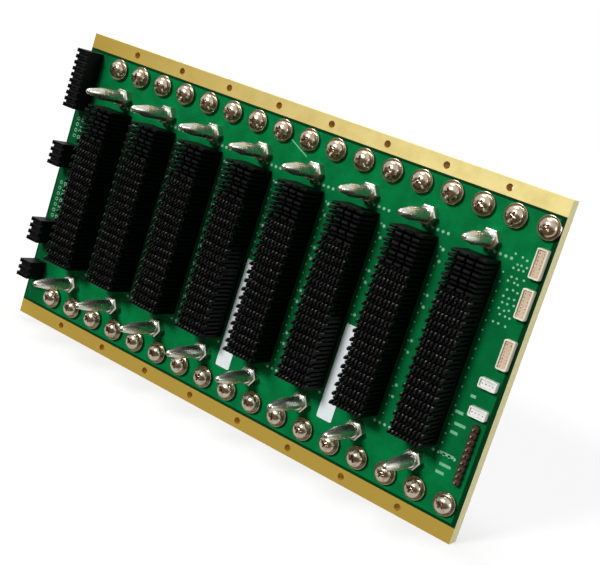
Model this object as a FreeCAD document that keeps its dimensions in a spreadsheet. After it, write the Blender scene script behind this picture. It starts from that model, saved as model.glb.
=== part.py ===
import FreeCAD, Part

import os

import Sketcher

# An eight-slot backplane, upright: +X along the board, +Z up, the connectors face -Y.
# The origin is the centre of the mounting holes on the board's front face.

SIZES = {
    # slots and margins along the board
    "slot_count": 8,
    "slot_pitch": 25.4,
    "terminal_lead": 6.7,
    "left_margin": 19.3,
    "right_margin": 4.5,
    # board
    "board_thickness": 5.6,
    "mount_edge_distance": 3.1,
    "mount_hole_diameter": 2.7,
    # rows up the board, each measured from its neighbour
    "upper_terminal_inset": 8.3,
    "upper_guide_inset": 10.6,
    "upper_connector_inset": 6.0,
    "lower_connector_inset": 8.3,
    "lower_guide_inset": 9.6,
    "lower_terminal_inset": 10.0,
    # connectors
    "connector_width": 13.7,
    "connector_offset": -0.75,
    "connector_height": 14.3,
    "connector_base": 3.0,
    "connector_gap": 0.3,
    "utility_wafers": 8,
    "signal_wafers": 16,
    "wafer_pitch": 1.75,
    "wafer_slot": 0.75,
    # guide pins
    "guide_hex_flats": 7.0,
    "guide_hex_height": 3.6,
    "guide_pin_diameter": 5.0,
    "guide_shank_top": 15.5,
    "guide_pin_height": 23.5,
    "guide_tip_diameter": 2.0,
    # power terminals
    "terminal_diameter": 7.6,
    "terminal_rim_height": 3.2,
    "terminal_crown_diameter": 4.8,
    "terminal_height": 4.6,
    "lower_terminal_shift": -1.8,
    # black headers on the left edge
    "edge_header_inset": 1.3,
    "edge_header_width": 6.5,
    "edge_header_height": 9.8,
    "edge_header_pitch": 2.54,
    "edge_notch_width": 0.9,
    "edge_notch_depth": 1.4,
    "long_edge_header_ways": 10,
    "long_edge_header_rise": 43.9,
    "middle_edge_header_ways": 4,
    "middle_edge_header_rise": 10.5,
    "low_edge_header_ways": 4,
    "low_edge_header_rise": -24.4,
    "bottom_edge_header_ways": 3,
    "bottom_edge_header_rise": -42.4,
    # cream and white headers near the right edge
    "cream_header_inset": 1.3,
    "cream_header_width": 4.2,
    "cream_header_length": 11.0,
    "cream_header_height": 2.6,
    "header_wall": 0.6,
    "header_floor": 0.8,
    "white_header_inset": 2.4,
    "white_header_width": 6.9,
    "white_header_length": 3.8,
    "white_header_height": 2.6,
    # gaps down the right edge, from the upper terminals to the lower ones
    "cream_terminal_gap": 3.45,
    "cream_header_gap": 3.6,
    "cream_white_gap": 4.7,
    "white_header_gap": 7.1,
    "white_pin_gap": 2.17,
    "pin_terminal_gap": 4.42,
    # dark pin header
    "pin_header_inset": 3.5,
    "pin_header_width": 2.5,
    "pin_header_ways": 9,
    "pin_header_pitch": 2.54,
    "pin_header_base": 2.5,
    "pin_side": 0.64,
    "pin_height": 4.4,
    # blank labels between connector columns
    "label_clearance": 1.4,
    "label_far_clearance": 3.5,
    "label_overhang": 11.0,
    "label_thickness": 0.25,
    "left_label_slot": 4,
    "left_label_length": 45.0,
    "right_label_slot": 6,
    "right_label_length": 38.0,
}

# The turned pieces stand in long rows, so each is drawn as a prism with this many sides.
GUIDE_PIN_SIDES = 12
TERMINAL_SIDES = 10
HEXAGON_SIDES = 6

# Lengths that follow from the sizes, as expressions on the sheet's cells.
SIGNAL_SPAN = "(sizes.signal_wafers * sizes.wafer_pitch)"
UTILITY_SPAN = "(sizes.utility_wafers * sizes.wafer_pitch)"
COLUMN_LENGTH = f"({UTILITY_SPAN} + 2 * {SIGNAL_SPAN} - sizes.connector_gap)"
UPPER_INSETS = "(sizes.upper_terminal_inset + sizes.upper_guide_inset + sizes.upper_connector_inset)"
LOWER_INSETS = "(sizes.lower_terminal_inset + sizes.lower_guide_inset + sizes.lower_connector_inset)"
MOUNT_ROWS = f"({UPPER_INSETS} + {COLUMN_LENGTH} + {LOWER_INSETS})"
BOARD_HEIGHT = f"({MOUNT_ROWS} + 2 * sizes.mount_edge_distance)"

# Heights on the board, counted from the middle of the mounting rows.
UPPER_MOUNT_Z = f"({MOUNT_ROWS} / 2)"
UPPER_TERMINAL_Z = f"({UPPER_MOUNT_Z} - sizes.upper_terminal_inset)"
UPPER_GUIDE_Z = f"({UPPER_TERMINAL_Z} - sizes.upper_guide_inset)"
COLUMN_TOP_Z = f"({UPPER_GUIDE_Z} - sizes.upper_connector_inset)"
COLUMN_BOTTOM_Z = f"({COLUMN_TOP_Z} - {COLUMN_LENGTH})"
LOWER_GUIDE_Z = f"({COLUMN_BOTTOM_Z} - sizes.lower_connector_inset)"
LOWER_TERMINAL_Z = f"({LOWER_GUIDE_Z} - sizes.lower_guide_inset)"

# Middles of the headers near the right edge, each set off from its neighbour by a gap.
UPPER_CREAM_Z = (
    f"({UPPER_TERMINAL_Z} - sizes.terminal_diameter / 2 - sizes.cream_terminal_gap"
    " - sizes.cream_header_length / 2)"
)
MIDDLE_CREAM_Z = f"({UPPER_CREAM_Z} - sizes.cream_header_length - sizes.cream_header_gap)"
PIN_HEADER_LENGTH = "(sizes.pin_header_ways * sizes.pin_header_pitch)"
PIN_HEADER_Z = (
    f"({LOWER_TERMINAL_Z} + sizes.terminal_diameter / 2 + sizes.pin_terminal_gap"
    f" + {PIN_HEADER_LENGTH} / 2)"
)
LOWER_WHITE_Z = (
    f"({PIN_HEADER_Z} + {PIN_HEADER_LENGTH} / 2 + sizes.white_pin_gap + sizes.white_header_length / 2)"
)
UPPER_WHITE_Z = f"({LOWER_WHITE_Z} + sizes.white_header_length + sizes.white_header_gap)"
LOWER_CREAM_Z = (
    f"({UPPER_WHITE_Z} + sizes.white_header_length / 2 + sizes.cream_white_gap"
    " + sizes.cream_header_length / 2)"
)

# Places along the board, counted from the middle of the slots.
FIRST_SLOT_X = "(-(sizes.slot_count - 1) / 2 * sizes.slot_pitch)"
FIRST_TERMINAL_X = f"({FIRST_SLOT_X} - sizes.terminal_lead)"
TERMINAL_PITCH = "(sizes.slot_pitch / 2)"
TERMINAL_COUNT = "(2 * sizes.slot_count + 1)"
BOARD_LEFT_X = f"({FIRST_TERMINAL_X} - sizes.left_margin)"
BOARD_RIGHT_X = f"({FIRST_TERMINAL_X} + sizes.slot_count * sizes.slot_pitch + sizes.right_margin)"
BOARD_WIDTH = f"({BOARD_RIGHT_X} - {BOARD_LEFT_X})"

doc = FreeCAD.newDocument("backplane")
sheet = doc.addObject("Spreadsheet::Sheet", "sizes")
nodes = []


def fill_sheet():
    """Writes each driving dimension to a cell of its own, named by an alias."""
    for row, (name, value) in enumerate(SIZES.items(), start=1):
        sheet.set(f"A{row}", name)
        sheet.set(f"B{row}", str(value))
        sheet.setAlias(f"B{row}", name)
    doc.recompute()


def slot_x(number):
    """The centre line of a slot, as an expression."""
    return f"({FIRST_SLOT_X} + {number - 1} * sizes.slot_pitch)"


def new_body(label, x, z):
    """A body whose own XY plane lies on the board's front face, with its own Z pointing out of it."""
    body = doc.addObject("PartDesign::Body", label)
    body.Label = label
    body.Placement = FreeCAD.Placement(
        FreeCAD.Vector(0, 0, 0), FreeCAD.Rotation(FreeCAD.Vector(1, 0, 0), 90)
    )
    body.setExpression("Placement.Base.x", x)
    body.setExpression("Placement.Base.z", z)
    nodes.append(body)
    return body


def origin_feature(body, role):
    """One of the body's own origin planes or axes."""
    return next(f for f in body.Origin.OriginFeatures if f.Role == role)


def new_sketch(body, plane="XY_Plane", **offsets):
    """A sketch on an origin plane, moved by expressions for x, y or z in that plane's own axes."""
    sketch = body.newObject("Sketcher::SketchObject", f"{body.Name}_sketch")
    sketch.AttachmentSupport = [(origin_feature(body, plane), "")]
    sketch.MapMode = "FlatFace"
    for axis, expression in offsets.items():
        sketch.setExpression(f"AttachmentOffset.Base.{axis}", expression)
    return sketch


def bind(sketch, constraint, expression):
    """Adds a dimension to a sketch and ties it to an expression."""
    index = sketch.addConstraint(constraint)
    sketch.setExpression(f"Constraints[{index}]", expression)


def outline(sketch, points):
    """A closed run of straight lines; returns the index of the first."""
    first = sketch.GeometryCount
    count = len(points)
    for i, point in enumerate(points):
        ends = FreeCAD.Vector(*point, 0), FreeCAD.Vector(*points[(i + 1) % count], 0)
        sketch.addGeometry(Part.LineSegment(*ends), False)
    for i in range(count):
        sketch.addConstraint(Sketcher.Constraint("Coincident", first + i, 2, first + (i + 1) % count, 1))
    return first


def rectangle(sketch, width, height):
    """A rectangle centred on the sketch's origin."""
    first = outline(sketch, [(-1, -1), (1, -1), (1, 1), (-1, 1)])
    for side in (0, 2):
        sketch.addConstraint(Sketcher.Constraint("Horizontal", first + side))
        sketch.addConstraint(Sketcher.Constraint("Vertical", first + side + 1))
    sketch.addConstraint(Sketcher.Constraint("Symmetric", first, 1, first + 1, 2, -1, 1))
    bind(sketch, Sketcher.Constraint("DistanceX", first, 1, first, 2, 2.0), width)
    bind(sketch, Sketcher.Constraint("DistanceY", first + 1, 1, first + 1, 2, 2.0), height)


def circle(sketch, diameter):
    """A circle centred on the sketch's origin."""
    index = sketch.addGeometry(Part.Circle(FreeCAD.Vector(), FreeCAD.Vector(0, 0, 1), 1.0), False)
    sketch.addConstraint(Sketcher.Constraint("Coincident", index, 3, -1, 1))
    bind(sketch, Sketcher.Constraint("Diameter", index, 2.0), diameter)


def pad(body, sketch, length, reversed_side=False):
    """Pads a sketch out of the board, or into it on the reversed side."""
    feature = body.newObject("PartDesign::Pad", f"{body.Name}_pad")
    feature.Profile = sketch
    feature.Reversed = reversed_side
    feature.setExpression("Length", length)
    return feature


def pocket(body, sketch, depth):
    """Cuts a sketch down into the solid under it."""
    feature = body.newObject("PartDesign::Pocket", f"{body.Name}_pocket")
    feature.Profile = sketch
    feature.setExpression("Length", depth)
    return feature


def repeat(body, features, axis, count, pitch):
    """Repeats features along an origin axis of the body at a fixed pitch."""
    pattern = body.newObject("PartDesign::LinearPattern", f"{body.Name}_pattern")
    pattern.Originals = features
    pattern.Direction = (origin_feature(body, axis), [""])
    pattern.Mode = "Spacing"
    pattern.setExpression("Offset", pitch)
    pattern.setExpression("Occurrences", count)
    body.Tip = pattern
    return pattern


def repeat_body(body, axis, count, pitch):
    """Repeats all that the body holds so far, chamfers too."""
    doc.recompute()
    repeat(body, [], axis, count, pitch).TransformMode = "Whole shape"


def prism(body, sides, circumradius, height):
    """A regular prism standing on the body's own XY plane."""
    feature = body.newObject("PartDesign::AdditivePrism", f"{body.Name}_prism")
    feature.AttachmentSupport = [(origin_feature(body, "XY_Plane"), "")]
    feature.MapMode = "FlatFace"
    feature.Polygon = sides
    feature.setExpression("Circumradius", circumradius)
    feature.setExpression("Height", height)
    return feature


def tapered_post(body, sides, diameter, height, tip_diameter, straight_height):
    """A prism whose free end is chamfered all round down to a smaller tip."""
    post = prism(body, sides, f"{diameter} / 2", height)
    doc.recompute()
    heights = [face.CenterOfMass.z for face in post.Shape.Faces]
    taper = body.newObject("PartDesign::Chamfer", f"{body.Name}_taper")
    taper.Base = (post, [f"Face{heights.index(max(heights)) + 1}"])
    taper.ChamferType = "Two distances"
    taper.setExpression("Size", f"{height} - {straight_height}")
    taper.setExpression("Size2", f"({diameter} - {tip_diameter}) / 2 * cos(180 deg / {sides})")
    body.Tip = taper


def make_board():
    """The laminated board with a mounting hole per slot in each of its two edge strips."""
    body = new_body("board", "0", "0")
    plate = new_sketch(body, x=f"({BOARD_LEFT_X} + {BOARD_RIGHT_X}) / 2")
    rectangle(plate, BOARD_WIDTH, BOARD_HEIGHT)
    pad(body, plate, "sizes.board_thickness", reversed_side=True)
    holes = []
    for row in (UPPER_MOUNT_Z, f"-{UPPER_MOUNT_Z}"):
        hole = new_sketch(body, x=FIRST_SLOT_X, y=row)
        circle(hole, "sizes.mount_hole_diameter")
        holes.append(pocket(body, hole, "sizes.board_thickness"))
    repeat(body, holes, "X_Axis", "sizes.slot_count", "sizes.slot_pitch")


def make_connector(label, slot, top, wafers):
    """A connector housing: a block whose upper part is cut into a comb of ribs across the column."""
    length = f"({wafers} * sizes.wafer_pitch - sizes.connector_gap)"
    body = new_body(label, f"{slot_x(slot)} + sizes.connector_offset", f"{top} - {length} / 2")
    block = new_sketch(body)
    rectangle(block, "sizes.connector_width", length)
    pad(body, block, "sizes.connector_height")
    cut = new_sketch(body, y=f"-({wafers} - 2) / 2 * sizes.wafer_pitch", z="sizes.connector_height")
    rectangle(cut, "sizes.connector_width", "sizes.wafer_slot")
    slot_cut = pocket(body, cut, "sizes.connector_height - sizes.connector_base")
    repeat(body, [slot_cut], "Y_Axis", f"{wafers} - 1", "sizes.wafer_pitch")


def make_column(slot):
    """The three connectors of one slot, end to end from the top."""
    upper_top = f"({COLUMN_TOP_Z} - {UTILITY_SPAN})"
    lower_top = f"({upper_top} - {SIGNAL_SPAN})"
    make_connector(f"slot_{slot}_utility_connector", slot, COLUMN_TOP_Z, "sizes.utility_wafers")
    make_connector(f"slot_{slot}_upper_connector", slot, upper_top, "sizes.signal_wafers")
    make_connector(f"slot_{slot}_lower_connector", slot, lower_top, "sizes.signal_wafers")


def make_guide_pins(label, row):
    """A row of guide pins, one per slot: hexagon collar, straight shank and tapered nose."""
    body = new_body(label, FIRST_SLOT_X, row)
    tapered_post(
        body,
        GUIDE_PIN_SIDES,
        "sizes.guide_pin_diameter",
        "sizes.guide_pin_height",
        "sizes.guide_tip_diameter",
        "sizes.guide_shank_top",
    )
    prism(body, HEXAGON_SIDES, "sizes.guide_hex_flats / sqrt(3)", "sizes.guide_hex_height")
    repeat_body(body, "X_Axis", "sizes.slot_count", "sizes.slot_pitch")


def make_terminals(label, first, row):
    """A row of power terminals with crowned heads, two per slot and one more."""
    body = new_body(label, first, row)
    tapered_post(
        body,
        TERMINAL_SIDES,
        "sizes.terminal_diameter",
        "sizes.terminal_height",
        "sizes.terminal_crown_diameter",
        "sizes.terminal_rim_height",
    )
    repeat_body(body, "X_Axis", TERMINAL_COUNT, TERMINAL_PITCH)


def make_edge_header(label):
    """A black header on the left edge, its open end notched between the ways."""
    ways = f"sizes.{label}_ways"
    centre = f"{BOARD_LEFT_X} + sizes.edge_header_inset + sizes.edge_header_width / 2"
    body = new_body(label, centre, f"sizes.{label}_rise")
    block = new_sketch(body)
    rectangle(block, "sizes.edge_header_width", f"{ways} * sizes.edge_header_pitch")
    pad(body, block, "sizes.edge_header_height")
    cut = new_sketch(body, y=f"-({ways} - 2) / 2 * sizes.edge_header_pitch", z="sizes.edge_header_height")
    rectangle(cut, "sizes.edge_header_width", "sizes.edge_notch_width")
    notch = pocket(body, cut, "sizes.edge_notch_depth")
    repeat(body, [notch], "Y_Axis", f"{ways} - 1", "sizes.edge_header_pitch")


def make_shrouded_header(label, kind, rise):
    """A header whose shroud is open to the front, set back from the board's right edge."""
    width, length, height = (f"sizes.{kind}_header_{side}" for side in ("width", "length", "height"))
    body = new_body(label, f"{BOARD_RIGHT_X} - sizes.{kind}_header_inset - {width} / 2", rise)
    block = new_sketch(body)
    rectangle(block, width, length)
    pad(body, block, height)
    mouth = new_sketch(body, z=height)
    rectangle(mouth, f"{width} - 2 * sizes.header_wall", f"{length} - 2 * sizes.header_wall")
    pocket(body, mouth, f"{height} - sizes.header_floor")


def make_pin_header():
    """The dark pin header: a moulded strip on the board and the row of square pins that it holds."""
    centre = f"{BOARD_RIGHT_X} - sizes.pin_header_inset - sizes.pin_header_width / 2"
    strip_body = new_body("pin_header_strip", centre, PIN_HEADER_Z)
    strip = new_sketch(strip_body)
    rectangle(strip, "sizes.pin_header_width", PIN_HEADER_LENGTH)
    pad(strip_body, strip, "sizes.pin_header_base")
    pin_body = new_body("pin_header_pins", centre, PIN_HEADER_Z)
    pin = new_sketch(
        pin_body, y="-(sizes.pin_header_ways - 1) / 2 * sizes.pin_header_pitch", z="sizes.pin_header_base"
    )
    rectangle(pin, "sizes.pin_side", "sizes.pin_side")
    post = pad(pin_body, pin, "sizes.pin_height - sizes.pin_header_base")
    repeat(pin_body, [post], "Y_Axis", "sizes.pin_header_ways", "sizes.pin_header_pitch")


def make_label(side):
    """A blank label on the board between two connector columns."""
    length = f"sizes.{side}_label_length"
    width = "(sizes.slot_pitch - sizes.connector_width - sizes.label_clearance - sizes.label_far_clearance)"
    column = f"({FIRST_SLOT_X} + (sizes.{side}_label_slot - 1) * sizes.slot_pitch + sizes.connector_offset)"
    left = f"({column} + sizes.connector_width / 2 + sizes.label_clearance)"
    bottom = f"({COLUMN_BOTTOM_Z} - sizes.label_overhang)"
    body = new_body(f"{side}_blank_label", f"{left} + {width} / 2", f"{bottom} + {length} / 2")
    sheet_outline = new_sketch(body)
    rectangle(sheet_outline, width, length)
    pad(body, sheet_outline, "sizes.label_thickness")


def check_model():
    """Stops before anything is written if an object failed or a sub-part has no valid shape."""
    failed = [o.Label for o in doc.Objects if {"Invalid", "Error"} & set(o.State)]
    empty = [n.Label for n in nodes if n.Shape.isNull() or not n.Shape.isValid() or not n.Shape.Solids]
    if failed or empty:
        raise RuntimeError(f"failed objects {failed}, sub-parts without a shape {empty}")


def main():
    """Builds the document, checks it and writes one file for each sub-part."""
    fill_sheet()
    make_board()
    for slot in range(1, SIZES["slot_count"] + 1):
        make_column(slot)
    make_guide_pins("upper_guide_pins", UPPER_GUIDE_Z)
    make_guide_pins("lower_guide_pins", LOWER_GUIDE_Z)
    make_terminals("upper_power_terminals", FIRST_TERMINAL_X, UPPER_TERMINAL_Z)
    make_terminals(
        "lower_power_terminals", f"{FIRST_TERMINAL_X} + sizes.lower_terminal_shift", LOWER_TERMINAL_Z
    )
    for place in ("long", "middle", "low", "bottom"):
        make_edge_header(f"{place}_edge_header")
    make_shrouded_header("upper_cream_header", "cream", UPPER_CREAM_Z)
    make_shrouded_header("middle_cream_header", "cream", MIDDLE_CREAM_Z)
    make_shrouded_header("lower_cream_header", "cream", LOWER_CREAM_Z)
    make_shrouded_header("upper_white_header", "white", UPPER_WHITE_Z)
    make_shrouded_header("lower_white_header", "white", LOWER_WHITE_Z)
    make_pin_header()
    make_label("left")
    make_label("right")
    doc.recompute()
    check_model()
    os.makedirs("parts", exist_ok=True)
    for node in nodes:
        node.Shape.exportStep(f"parts/{node.Label}.step")
        print(f"{node.Label}: {len(node.Shape.Solids)} solids, {node.Shape.Volume:.2f} mm3")


main()
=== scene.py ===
"""Looks of a bare eight-slot backplane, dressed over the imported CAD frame.

Shapes are written in millimetres on the board's own axes: x along the board, z up it and h out of
its front face. The row frame's Y axis runs the other way, so h is minus Y.
"""

import logging
import math
from collections.abc import Mapping, Sequence
from dataclasses import dataclass
from enum import Enum

import bmesh
import bpy
from mathutils import Matrix, Vector


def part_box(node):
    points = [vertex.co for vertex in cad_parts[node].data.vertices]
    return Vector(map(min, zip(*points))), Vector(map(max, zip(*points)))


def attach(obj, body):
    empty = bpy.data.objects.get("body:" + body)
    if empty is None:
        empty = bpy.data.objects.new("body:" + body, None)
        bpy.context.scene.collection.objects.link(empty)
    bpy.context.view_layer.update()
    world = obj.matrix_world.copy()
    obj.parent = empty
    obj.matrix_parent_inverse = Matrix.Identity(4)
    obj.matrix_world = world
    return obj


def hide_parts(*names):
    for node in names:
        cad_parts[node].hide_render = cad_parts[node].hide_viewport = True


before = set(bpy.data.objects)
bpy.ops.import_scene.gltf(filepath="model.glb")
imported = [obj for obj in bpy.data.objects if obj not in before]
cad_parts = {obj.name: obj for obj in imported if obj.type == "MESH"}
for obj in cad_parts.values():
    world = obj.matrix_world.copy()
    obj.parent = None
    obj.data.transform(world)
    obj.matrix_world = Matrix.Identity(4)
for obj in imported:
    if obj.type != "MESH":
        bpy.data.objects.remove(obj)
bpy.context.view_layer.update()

Colour = tuple[float, float, float]
Direction = tuple[float, float, float]
Pair = tuple[float, float]
Outline = list[Pair]
Profile = Sequence[Pair]

LOG = logging.getLogger("backplane")
BODY = "root"
MM = 0.001
SLOT_COUNT = 8
SLOT_PITCH = 25.4
CENTRE: Pair = (0.0, 0.0)
CORNERS = ((1, 1), (-1, 1), (-1, -1), (1, -1))
HEXAGON = 6
TURNED_SIDES = 28
PAD_SIDES = 8
# Edges of turned pieces flatter than this angle, in degrees, are shaded smooth.
SMOOTH = 32.0


class Signal:
    """One output socket of a node, open to ordinary arithmetic."""

    def __init__(self, graph: "Graph", socket: bpy.types.NodeSocket | None) -> None:
        """Remembers the graph and the socket, which a node without outputs doesn't have."""
        self.graph = graph
        self.socket = socket

    def output(self, name: str) -> "Signal":
        """Another output of the same node."""
        return Signal(self.graph, self.socket.node.outputs[name])

    def math(self, operation: str, *values: "Signal | float") -> "Signal":
        """One Math node over the given values."""
        return self.graph.node("ShaderNodeMath", {"operation": operation}, dict(enumerate(values)))

    def __add__(self, other: "Signal | float") -> "Signal":
        """This value plus another."""
        return self.math("ADD", self, other)

    __radd__ = __add__

    def __sub__(self, other: "Signal | float") -> "Signal":
        """This value less another."""
        return self.math("SUBTRACT", self, other)

    def __rsub__(self, other: "Signal | float") -> "Signal":
        """Another value less this one."""
        return self.math("SUBTRACT", other, self)

    def __mul__(self, other: "Signal | float") -> "Signal":
        """This value times another."""
        return self.math("MULTIPLY", self, other)

    __rmul__ = __mul__

    def __truediv__(self, other: "Signal | float") -> "Signal":
        """This value divided by another."""
        return self.math("DIVIDE", self, other)

    def __rtruediv__(self, other: "Signal | float") -> "Signal":
        """Another value divided by this one."""
        return self.math("DIVIDE", other, self)

    def __mod__(self, other: "Signal | float") -> "Signal":
        """What is left of this value after whole steps of another."""
        return self.math("FLOORED_MODULO", self, other)

    def __rmod__(self, other: "Signal | float") -> "Signal":
        """What is left of another value after whole steps of this one."""
        return self.math("FLOORED_MODULO", other, self)

    def __abs__(self) -> "Signal":
        """This value without its sign."""
        return self.math("ABSOLUTE", self)

    def floor(self) -> "Signal":
        """The whole number below this value."""
        return self.math("FLOOR", self)

    def most(self, other: "Signal | float") -> "Signal":
        """The greater of this value and another."""
        return self.math("MAXIMUM", self, other)

    def around(self, middle: float, spread: float) -> "Signal":
        """This value, from 0 to 1, laid out over a spread around a middle."""
        return self * spread + (middle - spread / 2)

    def above(self, edge: float, soft: float) -> "Signal":
        """A mask that rises from 0 to 1 where this value passes an edge.

        Args:
            edge: the value at the middle of the rise.
            soft: half the width of the rise.

        Returns:
            The mask.
        """
        return self.graph.node(
            "ShaderNodeMapRange",
            {"interpolation_type": "SMOOTHSTEP"},
            {"Value": self, "From Min": edge - soft, "From Max": edge + soft},
        )


class Graph:
    """A node tree that grows node by node."""

    # A Mix node has sockets of several kinds under the same names, so those for colours go by number.
    MIX_FACTOR = 0
    MIX_FIRST = 6
    MIX_SECOND = 7
    MIX_RESULT = 2

    def __init__(self, tree: bpy.types.NodeTree) -> None:
        """Starts from an empty tree."""
        self.tree = tree
        tree.nodes.clear()

    def node(
        self,
        kind: str,
        settings: Mapping[str, object] | None = None,
        inputs: Mapping[str | int, object] | None = None,
        output: str | int = 0,
    ) -> Signal:
        """Adds one node.

        Args:
            kind: the node's type.
            settings: its properties, which are set before its sockets.
            inputs: values or signals for its input sockets, by name or number.
            output: the output that is handed on.

        Returns:
            The chosen output.
        """
        made = self.tree.nodes.new(kind)
        for name, value in (settings or {}).items():
            setattr(made, name, value)
        for key, value in (inputs or {}).items():
            socket = made.inputs[key]
            if isinstance(value, Signal):
                self.tree.links.new(value.socket, socket)
            else:
                socket.default_value = (*value, 1.0) if socket.type == "RGBA" else value
        return Signal(self, made.outputs[output] if len(made.outputs) else None)

    def scale(self, vector: Signal, factor: Signal | float) -> Signal:
        """A vector times a number."""
        return self.node("ShaderNodeVectorMath", {"operation": "SCALE"}, {0: vector, "Scale": factor})

    def mix(self, factor: Signal | float, first: Signal | Colour, second: Signal | Colour) -> Signal:
        """A colour between two others."""
        inputs = {self.MIX_FACTOR: factor, self.MIX_FIRST: first, self.MIX_SECOND: second}
        return self.node("ShaderNodeMix", {"data_type": "RGBA"}, inputs, self.MIX_RESULT)


class Coat(Graph):
    """A new material, empty at first."""

    def __init__(self, name: str) -> None:
        """Makes the material.

        Args:
            name: its name.
        """
        self.material = bpy.data.materials.new(name)
        self.material.use_nodes = True
        super().__init__(self.material.node_tree)

    def close(self, surface: Signal) -> bpy.types.Material:
        """Ends the material in a shader and hands it out."""
        self.node("ShaderNodeOutputMaterial", None, {"Surface": surface})
        return self.material


class Paint(Coat):
    """A coat with one Principled surface, painted by Object coordinates in millimetres."""

    def __init__(self, name: str) -> None:
        """Makes the material and its coordinates.

        Args:
            name: its name.
        """
        super().__init__(name)
        self.place = self.scale(self.node("ShaderNodeTexCoord", output="Object"), 1 / MM)
        self.x = self.node("ShaderNodeSeparateXYZ", inputs={0: self.place}, output="X")
        self.y = self.x.output("Y")
        self.z = self.x.output("Z")

    def noise(self, size: float, detail: float = 2.0) -> Signal:
        """Cloudy variation from 0 to 1, with patches of about the given size in millimetres."""
        inputs = {"Vector": self.place, "Scale": 1 / size, "Detail": detail}
        return self.node("ShaderNodeTexNoise", None, inputs)

    def bump(self, height: Signal, depth: float) -> Signal:
        """A surface relief whose full height is the given depth in millimetres."""
        inputs = {"Height": height, "Distance": depth * MM, "Strength": 1.0}
        return self.node("ShaderNodeBump", None, inputs)

    def finish(self, **inputs: object) -> bpy.types.Material:
        """Closes the material.

        Args:
            inputs: values or signals of the Principled node, with underscores for blanks.

        Returns:
            The material.
        """
        named = {key.replace("_", " "): value for key, value in inputs.items()}
        return self.close(self.node("ShaderNodeBsdfPrincipled", None, named))


@dataclass(frozen=True)
class Plastic:
    """Moulded plastic, darker at its foot on the board and lighter at its rim, as painted shade and light.
    """

    name: str
    colour: Colour
    painted_foot_shade: Colour
    rim: float
    roughness: float = 0.42
    specular: float = 0.3
    blend: float = 0.5
    cloud_size: float = 1.4
    cloud_edge: Pair = (0.55, 0.2)
    cloud_share: float = 0.5
    shade: float = 0.8
    rough_spread: float = 0.16
    grain_size: float = 0.18
    grain_depth: float = 0.012

    def material(self) -> bpy.types.Material:
        """Builds the material.

        Returns:
            The material.
        """
        paint = Paint(self.name)
        cloud = paint.noise(self.cloud_size)
        # Painted shade and light: the colour darkens from the rim down to the foot on the board.
        height = (0.0 - paint.y).above(self.rim * (1.0 - self.blend), self.rim * self.blend)
        colour = paint.mix(height, self.painted_foot_shade, self.colour)
        shade = tuple(self.shade * part for part in self.colour)
        return paint.finish(
            Base_Color=paint.mix(cloud.above(*self.cloud_edge) * self.cloud_share, colour, shade),
            Roughness=cloud.around(self.roughness, self.rough_spread),
            Specular_IOR_Level=self.specular,
            Normal=paint.bump(paint.noise(self.grain_size), self.grain_depth),
        )


@dataclass(frozen=True)
class Metal:
    """Plated or turned metal with faint stains and tool marks."""

    name: str
    colour: Colour
    stain: Colour
    roughness: float
    metallic: float = 0.95
    cloud_size: float = 2.2
    cloud_detail: float = 3.0
    stain_edge: Pair = (0.58, 0.22)
    stain_share: float = 0.7
    rough_spread: float = 0.14
    mark_size: float = 0.35
    mark_depth: float = 0.004

    def material(self) -> bpy.types.Material:
        """Builds the material.

        Returns:
            The material.
        """
        paint = Paint(self.name)
        cloud = paint.noise(self.cloud_size, self.cloud_detail)
        stained = cloud.above(*self.stain_edge) * self.stain_share
        return paint.finish(
            Base_Color=paint.mix(stained, self.colour, self.stain),
            Metallic=self.metallic,
            Roughness=cloud.around(self.roughness, self.rough_spread),
            Normal=paint.bump(paint.noise(self.mark_size), self.mark_depth),
        )


@dataclass(frozen=True)
class Matt:
    """Paper, print and solder: a dull coat with a little unevenness."""

    name: str
    colour: Colour
    shade: Colour
    roughness: float = 0.6
    metallic: float = 0.0
    specular: float = 0.3
    cloud_size: float = 1.1
    cloud_detail: float = 3.0
    shade_edge: Pair = (0.52, 0.25)
    shade_share: float = 0.6
    rough_spread: float = 0.2
    grain_size: float = 0.12
    grain_depth: float = 0.006

    def material(self) -> bpy.types.Material:
        """Builds the material.

        Returns:
            The material.
        """
        paint = Paint(self.name)
        cloud = paint.noise(self.cloud_size, self.cloud_detail)
        shaded = cloud.above(*self.shade_edge) * self.shade_share
        return paint.finish(
            Base_Color=paint.mix(shaded, self.colour, self.shade),
            Metallic=self.metallic,
            Roughness=cloud.around(self.roughness, self.rough_spread),
            Specular_IOR_Level=self.specular,
            Normal=paint.bump(paint.noise(self.grain_size), self.grain_depth),
        )


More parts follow.
